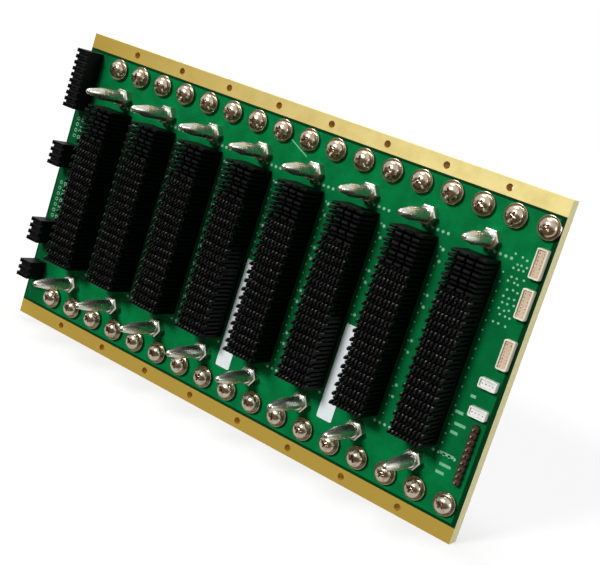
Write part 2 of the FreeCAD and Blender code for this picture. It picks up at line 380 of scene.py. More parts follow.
@dataclass(frozen=True)
class Laminate:
    """The board: green mask over copper, bare gold strips along the long edges and a pale cut edge.

    A pair whose name ends in edge holds the value where a mask rises and half the width of that rise.
    The skin of the faces and the outer walls are given by a depth and that half width.
    """

    name: str = "green_mask"
    thickness: float = 5.6
    left: float = -114.9
    right: float = 112.1
    half_height: float = 64.35
    skin: Pair = (0.03, 0.01)
    outer_wall: Pair = (0.1, 0.02)
    cloud_size: float = 7.0
    cloud_detail: float = 3.0
    mask: Colour = (0.0012, 0.180, 0.047)
    mask_thin: Colour = (0.0010, 0.128, 0.034)
    thin_edge: Pair = (0.5, 0.25)
    # mask_dim is the green in painted shade, towards the left edge and over the connector field.
    mask_dim: Colour = (0.0012, 0.085, 0.023)
    dim_reach: float = 12.0
    # Painted shade over the connector field, where the columns shade the board.
    field_shade_edge: Pair = (37.0, 3.0)
    field_shade_share: float = 0.45
    line_pitch: float = 1.27
    line_edge: Pair = (0.5, 0.06)
    line_patch_edge: Pair = (0.5, 0.08)
    line_share: float = 0.35
    mask_bare: Colour = (0.001, 0.034, 0.009)
    margin: float = 1.8
    margin_soft: float = 0.1
    bare_band: float = 1.1
    bare_soft: float = 0.12
    strip_edge: Pair = (58.2, 0.08)
    # gold is the pale painted reflection on the upper strip; gold_dull is the plating everywhere else.
    gold: Colour = (0.84, 0.71, 0.30)
    gold_dull: Colour = (0.43, 0.290, 0.052)
    reflection_along_edge: Pair = (-20.0, 120.0)
    reflection_up_edge: Pair = (0.0, 1.0)
    worn_edge: Pair = (0.55, 0.25)
    worn_share: float = 0.3
    lustre: float = 0.12
    bore: Colour = (0.55, 0.29, 0.025)
    core: Colour = (0.92, 0.85, 0.47)
    core_dark: Colour = (0.66, 0.58, 0.28)
    layer_pitch: float = 0.7
    layer_edge: Pair = (0.56, 0.03)
    layer_share: float = 0.6
    speck_size: float = 0.9
    speck_edge: Pair = (0.6, 0.15)
    speck_share: float = 0.5
    speck_relief: float = 0.4
    relief: float = 0.02
    roughness: float = 0.34
    rough_spread: float = 0.12
    cut_roughness: float = 0.30
    specular: float = 0.03

    def cut(self, paint: Paint) -> Signal:
        """A mask of the cut laminate, between the skins of the two faces."""
        depth, soft = self.skin
        return paint.y.above(depth, soft) * (1.0 - paint.y.above(self.thickness - depth, soft))

    def bored(self, paint: Paint, rise: Signal) -> Signal:
        """A mask of all that lies within the outer walls.

        Args:
            paint: the material.
            rise: the distance from the board's middle line.

        Returns:
            The mask, which on cut laminate leaves the walls of the holes.
        """
        depth, soft = self.outer_wall
        within = 1.0 - rise.above(self.half_height - depth, soft)
        within = within * (1.0 - paint.x.above(self.right - depth, soft))
        return within * paint.x.above(self.left + depth, soft)

    def bare(self, paint: Paint, rise: Signal) -> Signal:
        """A mask of the dark rim where no copper lies under the green.

        Args:
            paint: the material.
            rise: the distance from the board's middle line.

        Returns:
            The mask.
        """
        left = (self.left + self.margin / 2 - paint.x).above(0.0, self.margin_soft)
        right = paint.x.above(self.right - self.margin, self.margin_soft)
        return left.most(right).most(rise.above(self.strip_edge[0] - self.bare_band, self.bare_soft))

    def green(self, paint: Paint, cloud: Signal, rise: Signal, lines: Signal) -> Signal:
        """The colour of the mask over copper, darkened by painted shade towards the left edge and over the
        connector field.

        Args:
            paint: the material.
            cloud: the uneven thickness of the mask.
            rise: the distance from the board's middle line.
            lines: a mask of the copper lines.

        Returns:
            The colour.
        """
        colour = paint.mix(cloud.above(*self.thin_edge), self.mask, self.mask_thin)
        colour = paint.mix(lines * self.line_share, colour, self.mask_thin)
        # Painted shade: the green darkens towards the left edge.
        dim = (self.left + self.dim_reach - paint.x).above(0.0, self.dim_reach / 2)
        # Painted shade over the connector field between the columns.
        field_shade = (1.0 - rise.above(*self.field_shade_edge)) * self.field_shade_share
        return paint.mix(dim.most(field_shade), colour, self.mask_dim)

    def plating(self, paint: Paint, cloud: Signal) -> Signal:
        """The colour of the gold strips.

        Args:
            paint: the material.
            cloud: the uneven wear of the gold.

        Returns:
            The colour, which brightens to the right on the upper strip as a painted reflection, broken by
            worn patches.
        """
        # Painted reflection: the upper strip grows paler to the right, broken up by cloud patches of wear.
        painted_reflection = paint.x.above(*self.reflection_along_edge) * paint.z.above(*self.reflection_up_edge)
        wear_and_no_reflection = 1.0 - painted_reflection * (1.0 - cloud.above(*self.worn_edge) * self.worn_share)
        return paint.mix(wear_and_no_reflection, self.gold, self.gold_dull)

    def layers(self, paint: Paint, fine: Signal) -> Signal:
        """The colour of the cut edge.

        Args:
            paint: the material.
            fine: the fine variation that gives the specks.

        Returns:
            The colour, with dark layers and specks.
        """
        dark = (paint.y % self.layer_pitch).above(*self.layer_edge) * self.layer_share
        specks = fine.above(*self.speck_edge) * self.speck_share
        return paint.mix(dark.most(specks), self.core, self.core_dark)

    def material(self) -> bpy.types.Material:
        """Builds the material.

        Returns:
            The material.
        """
        paint = Paint(self.name)
        cloud = paint.noise(self.cloud_size, self.cloud_detail)
        fine = paint.noise(self.speck_size)
        rise = abs(paint.z)
        strip = rise.above(*self.strip_edge)
        bare = self.bare(paint, rise)
        cut = self.cut(paint)
        lines = (paint.z % self.line_pitch).above(*self.line_edge) * cloud.above(*self.line_patch_edge)
        green = paint.mix(bare, self.green(paint, cloud, rise, lines), self.mask_bare)
        face = paint.mix(strip, green, self.plating(paint, cloud))
        wall = paint.mix(self.bored(paint, rise), self.layers(paint, fine), self.bore)
        relief = lines * (1.0 - strip) * (1.0 - bare) + fine * self.speck_relief
        return paint.finish(
            Base_Color=paint.mix(cut, face, wall),
            Metallic=strip * (1.0 - cut) * self.lustre,
            Roughness=self.roughness + cut * self.cut_roughness + cloud * self.rough_spread,
            Specular_IOR_Level=self.specular,
            Normal=paint.bump(relief, self.relief),
        )


class Shade(Enum):
    """The finishes of the object's pieces."""

    BLACK = Plastic(
        "black_housing",
        (0.0055, 0.0055, 0.0063),
        (0.0011, 0.0011, 0.0013),
        rim=14.3,
        roughness=0.5,
        specular=0.08,
        blend=0.05,
    )
    EDGE = Plastic(
        "edge_header_plastic",
        (0.0055, 0.0055, 0.0065),
        (0.0030, 0.0030, 0.0036),
        rim=9.8,
        roughness=0.5,
        specular=0.10,
    )
    CREAM = Plastic("cream_plastic", (0.76, 0.73, 0.59), (0.64, 0.52, 0.38), rim=2.4, roughness=0.5)
    WHITE = Plastic("white_plastic", (0.80, 0.81, 0.77), (0.62, 0.62, 0.56), rim=2.4, roughness=0.45)
    BROWN = Plastic("brown_plastic", (0.045, 0.022, 0.016), (0.020, 0.010, 0.008), rim=2.5, roughness=0.4)
    # Painted shade: the cream plastic as it looks in the shade at the floor of a header's well.
    PEACH = Plastic("header_floor", (0.62, 0.47, 0.34), (0.50, 0.34, 0.24), rim=2.4, roughness=0.55)
    STEEL = Metal("pin_steel", (0.60, 0.60, 0.54), (0.42, 0.44, 0.36), roughness=0.28)
    TERMINAL = Metal("terminal_metal", (0.50, 0.44, 0.35), (0.24, 0.13, 0.06), roughness=0.22)
    # Near-black metal; on the left pads it also darkens the discs that stand for the shade inside holes.
    SPRING = Metal("contact_spring", (0.035, 0.033, 0.030), (0.012, 0.011, 0.010), roughness=0.40)
    TIP = Metal(
        "contact_tip",
        (0.11, 0.107, 0.10),
        (0.012, 0.011, 0.010),
        roughness=0.4,
        metallic=0.7,
        stain_edge=(0.47, 0.05),
        stain_share=1.0,
    )
    GOLD = Metal("gold_plating", (0.60, 0.48, 0.30), (0.44, 0.32, 0.18), roughness=0.30)
    PAPER = Matt("label_paper", (0.74, 0.79, 0.80), (0.66, 0.71, 0.74))
    INK = Matt("white_print", (0.18, 0.48, 0.28), (0.10, 0.38, 0.20))
    SOLDER = Matt("tinned_pad", (0.28, 0.54, 0.37), (0.17, 0.40, 0.25), roughness=0.4, metallic=0.1)
    BOARD = Laminate()


class Slot(Enum):
    """The record's material slots."""

    HOUSING = "black_housing"
    CREAM = "cream_plastic"
    WHITE = "white_plastic"
    BROWN = "brown_plastic"
    STEEL = "pin_steel"
    TERMINAL = "terminal_metal"
    GOLD = "gold_plating"
    PAPER = "label_paper"


class Palette:
    """Builds each finish once and keeps its material."""

    def __init__(self) -> None:
        """Starts without materials."""
        self.made: dict[Shade, bpy.types.Material] = {}

    def __getitem__(self, shade: Shade) -> bpy.types.Material:
        """Looks up one finish.

        Args:
            shade: the finish.

        Returns:
            Its material.
        """
        if shade not in self.made:
            self.made[shade] = shade.value.material()
        return self.made[shade]


def rectangle(width: float, length: float, radius: float = 0.0, steps: int = 3) -> Outline:
    """Draws a centred rectangle.

    Args:
        width: its size along the board.
        length: its size up the board.
        radius: the radius of its corners, or 0 for sharp ones.
        steps: how many edges round off a corner.

    Returns:
        The outline.
    """
    if radius <= 0.0:
        return [(sx * width / 2, sz * length / 2) for sx, sz in CORNERS]
    points: Outline = []
    for corner, (sx, sz) in enumerate(CORNERS):
        for step in range(steps + 1):
            turn = math.pi / 2 * (corner + step / steps)
            x = sx * (width / 2 - radius) + radius * math.cos(turn)
            z = sz * (length / 2 - radius) + radius * math.sin(turn)
            points.append((x, z))
    return points


def polygon(sides: int, radius: float) -> Outline:
    """A centred regular polygon with its first corner on the x axis."""
    turns = (2 * math.pi * side / sides for side in range(sides))
    return [(radius * math.cos(turn), radius * math.sin(turn)) for turn in turns]


def cross(reach: float, width: float) -> Outline:
    """Draws a centred plus sign.

    Args:
        reach: the length of its two bars.
        width: their width.

    Returns:
        The outline, whose first arm is turned three times.
    """
    a, b = reach / 2, width / 2
    arm = [(a, -b), (a, b), (b, b)]
    points = list(arm)
    for _ in range(3):
        arm = [(-z, x) for x, z in arm]
        points += arm
    return points


@dataclass(frozen=True)
class Place:
    """Where a CAD node stands, in millimetres."""

    x: Pair
    h: Pair
    z: Pair

    @classmethod
    def of(cls, node: str) -> "Place":
        """Reads the node's box from the frame."""
        low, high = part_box(node)
        return cls((low.x / MM, high.x / MM), (-high.y / MM, -low.y / MM), (low.z / MM, high.z / MM))

    @property
    def centre(self) -> Pair:
        """The middle of the node on the board."""
        return sum(self.x) / 2, sum(self.z) / 2

    @property
    def width(self) -> float:
        """Its size along the board."""
        return self.x[1] - self.x[0]

    @property
    def length(self) -> float:
        """Its size up the board."""
        return self.z[1] - self.z[0]

    @property
    def height(self) -> float:
        """How far it stands out of the board's front."""
        return self.h[1]

    def outline(self, inset: float, radius: float) -> Outline:
        """Its rounded outline around the origin, drawn in on every side."""
        return rectangle(self.width - 2 * inset, self.length - 2 * inset, radius)


def new_object(name: str, data: bpy.types.ID) -> bpy.types.Object:
    """Makes an object and puts it in the scene.

    Args:
        name: its name.
        data: its mesh, camera or lamp.

    Returns:
        The object, at the origin.
    """
    made = bpy.data.objects.new(name, data)
    bpy.context.scene.collection.objects.link(made)
    return made


def finished_mesh(made: bpy.types.Object) -> bpy.types.Mesh:
    """A plain mesh of an object with its modifiers applied."""
    graph = bpy.context.evaluated_depsgraph_get()
    return bpy.data.meshes.new_from_object(made.evaluated_get(graph), depsgraph=graph)


class Shape:
    """A mesh under construction, made of closed skins."""

    def __init__(self) -> None:
        """Starts without faces."""
        self.mesh = bmesh.new()

    def skin(self, levels: Sequence[tuple[Outline, float]], at: Pair = CENTRE) -> "Shape":
        """Adds one closed skin through outlines of the same point count.

        Args:
            levels: outlines, each with its height over the board.
            at: where their centre lies on the board.

        Returns:
            This shape.
        """
        rings = [
            [self.mesh.verts.new(((x + at[0]) * MM, -h * MM, (z + at[1]) * MM)) for x, z in outline]
            for outline, h in levels
        ]
        for lower, upper in zip(rings, rings[1:]):
            for i, j in zip(range(len(lower)), [*range(1, len(lower)), 0]):
                self.mesh.faces.new((lower[i], lower[j], upper[j], upper[i]))
        self.mesh.faces.new(rings[0])
        self.mesh.faces.new(rings[-1])
        return self

    def block(
        self, width: float, length: float, span: Pair, at: Pair = CENTRE, ease: float = 0.0
    ) -> "Shape":
        """Adds a block.

        Args:
            width: its size along the board.
            length: its size up the board.
            span: the heights of its foot and its top.
            at: where its centre lies on the board.
            ease: how far its top edges are eased off.

        Returns:
            This shape.
        """
        foot = rectangle(width, length)
        levels = [(foot, span[0]), (foot, span[1] - ease)]
        if ease > 0.0:
            levels.append((rectangle(width - 2 * ease, length - 2 * ease), span[1]))
        return self.skin(levels, at)

    def turned(self, profile: Profile, sides: int = TURNED_SIDES, at: Pair = CENTRE) -> "Shape":
        """Adds a turned skin from pairs of radius and height."""
        return self.skin([(polygon(sides, radius), h) for radius, h in profile], at)

    def disc(self, radius: float, top: float, at: Pair = CENTRE, sides: int = PAD_SIDES) -> "Shape":
        """Adds a flat disc on the board."""
        return self.turned([(radius, 0.0), (radius, top)], sides, at)

    def cut(self, tool: "Shape") -> "Shape":
        """Takes another shape out of this one.

        Args:
            tool: the other shape, which is used up.

        Returns:
            This shape.
        """
        body, cutter = self.stand("body"), tool.stand("cutter")
        change = body.modifiers.new("cut", "BOOLEAN")
        change.operation = "DIFFERENCE"
        change.solver = "EXACT"
        change.object = cutter
        result = finished_mesh(body)
        self.mesh = bmesh.new()
        self.mesh.from_mesh(result)
        for old in (body.data, cutter.data, result):
            bpy.data.meshes.remove(old)
        return self

    def stand(
        self, name: str, finish: bpy.types.Material | None = None, smooth: float = 0.0
    ) -> bpy.types.Object:
        """Turns the shape into an object.

        Args:
            name: the object's name.
            finish: its material.
            smooth: the angle in degrees below which edges are shaded smooth.

        Returns:
            The object, at the origin.
        """
        bmesh.ops.recalc_face_normals(self.mesh, faces=self.mesh.faces[:])
        data = bpy.data.meshes.new(name)
        self.mesh.to_mesh(data)
        self.mesh.free()
        if finish is not None:
            data.materials.append(finish)
        if smooth > 0.0:
            data.shade_smooth()
            data.set_sharp_from_angle(angle=math.radians(smooth))
        return new_object(name, data)


@dataclass(frozen=True)
class Field:
    """Columns and rows in which one shape repeats on the board."""

    start: Pair
    columns: int = 1
    rows: int = 1
    pitch_x: float = 0.0
    pitch_z: float = 0.0
    stagger: float = 0.0
    spin: float = 0.0
    jitter: float = 0.0

    @classmethod
    def centred(
        cls,
        at: Pair,
        columns: int = 1,
        rows: int = 1,
        pitch_x: float = 0.0,
        pitch_z: float = 0.0,
        spin: float = 0.0,
    ) -> "Field":
        """A field around its own middle."""
        start = (at[0] - (columns - 1) * pitch_x / 2, at[1] - (rows - 1) * pitch_z / 2)
        return cls(start, columns, rows, pitch_x, pitch_z, spin=spin)


class FieldTree:
    """A Geometry Nodes tree that sets copies of one shape out over a field."""

    INPUTS = {
        "Shape": "NodeSocketObject",
        "Finish": "NodeSocketMaterial",
        "Columns": "NodeSocketInt",
        "Rows": "NodeSocketInt",
        "Start": "NodeSocketVector",
        "Pitch X": "NodeSocketFloat",
        "Pitch Z": "NodeSocketFloat",
        "Stagger": "NodeSocketFloat",
        "Spin": "NodeSocketFloat",
        "Jitter": "NodeSocketFloat",
        "Seed": "NodeSocketInt",
    }
    SEED = 7
    # A Random Value node has sockets of several kinds under the same names, so they go by number.
    LOWEST_VECTOR = 0
    HIGHEST_VECTOR = 1
    LOWEST_NUMBER = 2
    HIGHEST_NUMBER = 3
    RANDOM_NUMBER = 1

    def __init__(self) -> None:
        """Builds the tree."""
        self.tree = bpy.data.node_groups.new("pieces_over_a_field", "GeometryNodeTree")
        face = self.tree.interface
        face.new_socket("Geometry", in_out="OUTPUT", socket_type="NodeSocketGeometry")
        self.sockets = {
            name: face.new_socket(name, in_out="INPUT", socket_type=kind).identifier
            for name, kind in self.INPUTS.items()
        }
        graph = Graph(self.tree)
        given = graph.node("NodeGroupInput")
        spots = {
            "Count": given.output("Columns") * given.output("Rows"),
            "Position": self.places(graph, given),
        }
        points = graph.node("GeometryNodePoints", None, spots)
        shape = graph.node("GeometryNodeObjectInfo", None, {"Object": given.output("Shape")}, "Geometry")
        setting = {"Points": points, "Instance": shape, "Rotation": self.turns(graph, given)}
        copies = graph.node("GeometryNodeInstanceOnPoints", None, setting)
        solid = graph.node("GeometryNodeRealizeInstances", None, {"Geometry": copies})
        finish = {"Geometry": solid, "Material": given.output("Finish")}
        dressed = graph.node("GeometryNodeSetMaterial", None, finish)
        graph.node("NodeGroupOutput", None, {"Geometry": dressed})

    def places(self, graph: Graph, given: Signal) -> Signal:
        """Works out where the copies stand.

        Args:
            graph: the tree.
            given: its inputs.

        Returns:
            The place of each copy.
        """
        start = graph.node("ShaderNodeSeparateXYZ", None, {0: given.output("Start")})
        index = graph.node("GeometryNodeInputIndex")
        column = index % given.output("Columns")
        row = (index / given.output("Columns")).floor()
        x = start + column * given.output("Pitch X") + (row % 2.0) * given.output("Stagger")
        z = start.output("Z") + row * given.output("Pitch Z")
        place = graph.node("ShaderNodeCombineXYZ", None, {"X": x, "Y": start.output("Y"), "Z": z})
        bounds = {self.LOWEST_VECTOR: (-1.0, 0.0, -1.0), self.HIGHEST_VECTOR: (1.0, 0.0, 1.0)}
        stray = graph.node(
            "FunctionNodeRandomValue",
            {"data_type": "FLOAT_VECTOR"},
            {**bounds, "Seed": given.output("Seed")},
        )
        stray = graph.scale(stray, given.output("Jitter"))
        return graph.node("ShaderNodeVectorMath", {"operation": "ADD"}, {0: place, 1: stray})

    def turns(self, graph: Graph, given: Signal) -> Signal:
        """Works out how far the copies are turned.

        Args:
            graph: the tree.
            given: its inputs.

        Returns:
            The rotation of each copy on the board.
        """
        spin = given.output("Spin")
        turn = graph.node(
            "FunctionNodeRandomValue",
            {"data_type": "FLOAT"},
            {self.LOWEST_NUMBER: 0.0 - spin, self.HIGHEST_NUMBER: spin, "Seed": given.output("Seed")},
            self.RANDOM_NUMBER,
        )
        euler = graph.node("ShaderNodeCombineXYZ", None, {"Y": turn})
        return graph.node("FunctionNodeEulerToRotation", None, {0: euler})

    def grow(
        self, name: str, shape: Shape, field: Field, finish: bpy.types.Material, smooth: float = 0.0
    ) -> bpy.types.Object:
        """Makes one plain mesh of all copies.

        Args:
            name: the new object's name.
            shape: what repeats, around the origin of the board.
            field: where it repeats.
            finish: the material of all copies.
            smooth: the angle in degrees below which edges are shaded smooth.

        Returns:
            The object, at the origin and without a modifier.
        """
        template = shape.stand(f"{name}_shape", finish, smooth)
        made = new_object(name, bpy.data.meshes.new(name))
        modifier = made.modifiers.new("field", "NODES")
        modifier.node_group = self.tree
        values = {
            "Shape": template,
            "Finish": finish,
            "Columns": field.columns,
            "Rows": field.rows,
            "Start": (field.start[0] * MM, 0.0, field.start[1] * MM),
            "Pitch X": field.pitch_x * MM,
            "Pitch Z": field.pitch_z * MM,
            "Stagger": field.stagger * MM,
            "Spin": field.spin,
            "Jitter": field.jitter * MM,
            "Seed": self.SEED,
        }
        for key, value in values.items():
            modifier[self.sockets[key]] = value
        mesh = finished_mesh(made)
        made.modifiers.clear()
        empty, made.data = made.data, mesh
        mesh.name = name
        bpy.data.meshes.remove(empty)
        bpy.data.meshes.remove(template.data)
        return made


@dataclass
class Bench:
    """What every sub-assembly works with."""

    palette: Palette
    fields: FieldTree

    def keep(self, made: bpy.types.Object, slot: Slot, *nodes: str) -> None:
        """Fixes a finished piece to the body.

        Args:
            made: the piece.
            slot: the record's material slot, which is not used.
            nodes: the CAD nodes that it stands for.
        """
        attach(made, BODY)
        if nodes:
            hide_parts(*nodes)
        LOG.info("%s: %d faces", made.name, len(made.data.polygons))

    def solid(
        self, name: str, shape: Shape, shade: Shade, slot: Slot, *nodes: str, smooth: float = 0.0
    ) -> None:
        """Keeps one single piece."""
        self.keep(shape.stand(name, self.palette[shade], smooth), slot, *nodes)

    def many(
        self,
        name: str,
        shape: Shape,
        field: Field,
        shade: Shade,
        slot: Slot,
        *nodes: str,
        smooth: float = 0.0,
    ) -> None:
        """Keeps one piece made of copies."""
        self.keep(self.fields.grow(name, shape, field, self.palette[shade], smooth), slot, *nodes)


@dataclass
class Board:
    """The laminated board, kept from the CAD model."""

    node: str = "board"

    def dress(self, bench: Bench) -> None:
        """Gives the board its finish."""
        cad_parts[self.node].material_slots[0].material = bench.palette[Shade.BOARD]
        LOG.info("%s: dressed", self.node)


class Connector(Enum):
    """The connectors of one slot, from the top down."""

    UTILITY = "utility"
    UPPER = "upper"
    LOWER = "lower"


@dataclass
class ConnectorColumn:
    """The three connectors of one slot: housings with walls, and the towers that stand on them."""

    slot: int
    base: float = 3.0
    base_ease: float = 0.15
    pitch: float = 1.75
    wall: float = 1.0
    wall_top: float = 12.2
    wall_root: float = 0.1
    wall_ease: float = 0.12
    towers: int = 9
    tower_width: float = 1.0
    tower_root: float = 0.2
    tower_ease: float = 0.22
    step: float = 1.3
    blades: int = 4
    blade_width: float = 2.8
    contact: Pair = (0.7, 0.55)
    contact_root: float = 1.0
    contact_drop: float = 0.4
    contact_gap: float = 0.2
    contact_ease: float = 0.15

    def node(self, kind: Connector) -> str:
        """The CAD name of one connector."""
        return f"slot_{self.slot}_{kind.value}_connector"

    def place(self, kind: Connector) -> Place:
        """Where one connector stands."""
        return Place.of(self.node(kind))

    def wafers(self, kind: Connector) -> int:
        """How many wafers one connector holds."""
        return round(self.place(kind).length / self.pitch)

    def first_wafer(self, kind: Connector) -> float:
        """The height of its lowest wafer on the board."""
        return self.place(kind).centre[1] - (self.wafers(kind) - 1) * self.pitch / 2

    @property
    def tower_pitch(self) -> float:
        """How far apart the towers of a wafer stand."""
        return (self.place(Connector.LOWER).width - self.tower_width) / (self.towers - 1)

    def housing(self, kind: Connector) -> Shape:
        """Shapes one connector up to the foot of its towers.

        Args:
            kind: which of the three connectors.

        Returns:
            Its base and its walls.
        """
        place = self.place(kind)
        shape = Shape().block(place.width, place.length, (0.0, self.base), place.centre, self.base_ease)
        span = (self.base - self.wall_root, self.wall_top)
        count = self.wafers(kind)
        for wafer in range(count):
            low = self.first_wafer(kind) + wafer * self.pitch - self.wall / 2
            high = low + self.wall
            low = place.z[0] if wafer == 0 else low
            high = place.z[1] if wafer == count - 1 else high
            shape.block(place.width, high - low, span, (place.centre[0], (low + high) / 2), self.wall_ease)
        return shape

    def build_towers(self, bench: Bench) -> None:
        """Makes the towers of both signal connectors, tall and low by turns, and their contacts.

        Args:
            bench: what makes and keeps the pieces.
        """
        place = self.place(Connector.LOWER)
        rows = (self.wafers(Connector.UPPER) + self.wafers(Connector.LOWER)) // 2
        low = self.first_wafer(Connector.LOWER)
        for name, columns, top, z in (
            ("tall", self.towers, place.height, low),
            ("low", self.towers - 1, place.height - self.step, low + self.pitch),
        ):
            x = place.centre[0] - (columns - 1) * self.tower_pitch / 2
            field = Field((x, z), columns, rows, self.tower_pitch, 2 * self.pitch)
            span = (self.wall_top - self.tower_root, top)
            tower = Shape().block(self.tower_width, self.wall, span, ease=self.tower_ease)
            bench.many(f"slot_{self.slot}_{name}_towers", tower, field, Shade.BLACK, Slot.HOUSING)
            span = (self.wall_top - self.contact_root, top - self.contact_drop)
            at = (0.0, self.wall / 2 + self.contact_gap)
            spring = Shape().block(*self.contact, span, at, self.contact_ease)
            bench.many(f"slot_{self.slot}_{name}_contacts", spring, field, Shade.TIP, Slot.GOLD)

    def build_blades(self, bench: Bench) -> None:
        """Makes the broad blades of the utility connector, tall and low by turns.

        Args:
            bench: what makes and keeps the pieces.
        """
        place = self.place(Connector.LOWER)
        pitch = (place.width - self.blade_width) / (self.blades - 1)
        rows = self.wafers(Connector.UTILITY) // 2
        x = place.centre[0] - (self.blades - 1) * pitch / 2
        z = self.first_wafer(Connector.UTILITY)
        for name, drop, rise in (("tall", 0.0, 0.0), ("low", self.step, self.pitch)):
            span = (self.wall_top - self.tower_root, place.height - drop)
            blade = Shape().block(self.blade_width, self.wall, span, ease=self.tower_ease)
            field = Field((x, z + rise), self.blades, rows, pitch, 2 * self.pitch)
            bench.many(f"slot_{self.slot}_{name}_blades", blade, field, Shade.BLACK, Slot.HOUSING)

    def build(self, bench: Bench) -> None:
        """Makes all pieces of the slot.

        Args:
            bench: what makes and keeps the pieces.
        """
        for kind in Connector:
            node = self.node(kind)
            bench.solid(f"{node}_housing", self.housing(kind), Shade.BLACK, Slot.HOUSING, node)
        self.build_towers(bench)
        self.build_blades(bench)


@dataclass
class GuidePins:
    """A row of turned guide pins on hexagon collars.

    The nose is given by radii, each with its depth under the tip.
    """

    node: str
    flats: float = 7.0
    collar: float = 3.6
    collar_chamfer: Pair = (0.45, 0.4)
    seat: float = 2.9
    seat_root: float = 0.2
    seat_rise: float = 0.35
    shank: float = 2.5
    shank_rise: float = 0.6
    shoulder: float = 15.5
    shoulder_chamfer: Pair = (0.12, 0.3)
    nose: tuple[Pair, ...] = ((1.15, 0.7), (0.85, 0.25), (0.4, 0.0))

    def pin(self, top: float) -> Shape:
        """Shapes one pin on its collar.

        Args:
            top: the height of its tip.

        Returns:
            The pin around the origin.
        """
        corner = self.flats / 2 / math.cos(math.pi / HEXAGON)
        inward, down = self.collar_chamfer
        collar = [
            (polygon(HEXAGON, corner), 0.0),
            (polygon(HEXAGON, corner), self.collar - down),
            (polygon(HEXAGON, corner - inward), self.collar),
        ]
        inward, down = self.shoulder_chamfer
        profile = [
            (self.seat, self.collar - self.seat_root),
            (self.seat, self.collar + self.seat_rise),
            (self.shank, self.collar + self.shank_rise),
            (self.shank, self.shoulder - down),
            (self.shank - inward, self.shoulder + down),
            *((radius, top - depth) for radius, depth in self.nose),
        ]
        return Shape().skin(collar).turned(profile)

    def build(self, bench: Bench) -> None:
        """Makes the row.

        Args:
            bench: what makes and keeps the pieces.
        """
        place = Place.of(self.node)
        field = Field.centred(place.centre, columns=SLOT_COUNT, pitch_x=SLOT_PITCH)
        pin = self.pin(place.height)
        bench.many(f"{self.node}_row", pin, field, Shade.STEEL, Slot.STEEL, self.node, smooth=SMOOTH)


@dataclass
class PowerTerminals:
    """A row of pan-head terminal screws on washers.

    The side of a head is given by steps inwards, each with its height over the washer, and its crown
    by steps inwards, each with its depth under the top.
    """

    node: str
    count: int = 17
    pitch: float = 12.7
    spin: float = math.pi / 4
    foot: float = 3.9
    washer: float = 4.4
    washer_top: float = 1.7
    washer_thickness: float = 0.75
    washer_under_ease: float = 0.1
    washer_ease: float = 0.12
    washer_bore: float = 2.5
    head: float = 3.5
    side: tuple[Pair, ...] = ((0.0, -0.05), (0.0, 0.9), (0.14, 1.4), (0.5, 1.95), (1.1, 2.4))
    crown: tuple[Pair, ...] = ((1.9, 0.15), (2.8, 0.0))
    recess_floor: Pair = (2.2, 0.55)
    recess_mouth: Pair = (3.2, 0.8)
    recess_depth: float = 1.3
    recess_clear: float = 0.3

    def screw(self, top: float) -> Shape:
        """Shapes one screw with its cross recess and washer.

        Args:
            top: the height of its crown.

        Returns:
            The screw around the origin.
        """
        dome = [(self.head - inward, self.washer_top + rise) for inward, rise in self.side]
        dome += [(self.head - inward, top - depth) for inward, depth in self.crown]
        recess = Shape().skin(
            [
                (cross(*self.recess_floor), top - self.recess_depth),
                (cross(*self.recess_mouth), top + self.recess_clear),
            ]
        )
        under = self.washer_top - self.washer_thickness
        washer = [
            (self.foot, 0.0),
            (self.foot, under),
            (self.washer - self.washer_under_ease, under),
            (self.washer, under + self.washer_under_ease),
            (self.washer, self.washer_top - self.washer_ease),
            (self.washer - self.washer_ease, self.washer_top),
            (self.washer_bore, self.washer_top),
        ]
        return Shape().turned(dome).cut(recess).turned(washer)

    def build(self, bench: Bench) -> None:
        """Makes the row.

        Args:
            bench: what makes and keeps the pieces.
        """
        place = Place.of(self.node)
        field = Field.centred(place.centre, columns=self.count, pitch_x=self.pitch, spin=self.spin)
        screw = self.screw(place.height)
        bench.many(
            f"{self.node}_row", screw, field, Shade.TERMINAL, Slot.TERMINAL, self.node, smooth=SMOOTH
        )


@dataclass
class EdgeHeader:
    """A black header on the left edge with one open way per tooth.

    The lip and the well are given by how much smaller they are than a tooth.
    """

    node: str
    pitch: float = 2.54
    notch: float = 0.9
    depth: float = 1.4
    ease: float = 0.15
    drop: float = 0.2
    lip: Pair = (1.4, 0.7)
    well: Pair = (1.6, 0.8)
    well_floor: float = 0.1
    contact: Pair = (0.6, 0.5)
    contact_side: float = 1.3
    contact_drop: float = 0.8
    contact_ease: float = 0.1

    def tooth(self, width: float, length: float, top: float) -> Shape:
        """Shapes one hollow tooth.

        Args:
            width: its size along the board.
            length: its size up the board.
            top: the height of its rim.

        Returns:
            The tooth around the origin.
        """
        foot = top - self.depth
        outer = rectangle(width, length)
        well = rectangle(width - self.well[0], length - self.well[1])
        return Shape().skin(
            [
                (outer, foot - self.drop),
                (outer, top - self.drop),
                (rectangle(width - 2 * self.ease, length - 2 * self.ease), top),
                (rectangle(width - self.lip[0], length - self.lip[1]), top),
                (well, top - self.drop),
                (well, foot + self.well_floor),
            ]
        )

    def build(self, bench: Bench) -> None:
        """Makes the body, its teeth and its contacts.

        Args:
            bench: what makes and keeps the pieces.
        """
        place = Place.of(self.node)
        foot = place.height - self.depth
        body = Shape().block(place.width, place.length, (0.0, foot), place.centre, self.ease)
        bench.solid(f"{self.node}_body", body, Shade.EDGE, Slot.HOUSING, self.node)
        length = self.pitch - self.notch
        ways = round(place.length / self.pitch)
        field = Field.centred(place.centre, rows=ways, pitch_z=(place.length - length) / (ways - 1))
        tooth = self.tooth(place.width, length, place.height)
        bench.many(f"{self.node}_teeth", tooth, field, Shade.EDGE, Slot.HOUSING)
        contacts = Shape()
        for x in (-self.contact_side, self.contact_side):
            span = (foot, place.height - self.contact_drop)
            contacts.block(*self.contact, span, (x, 0.0), self.contact_ease)
        bench.many(f"{self.node}_contacts", contacts, field, Shade.SPRING, Slot.STEEL)


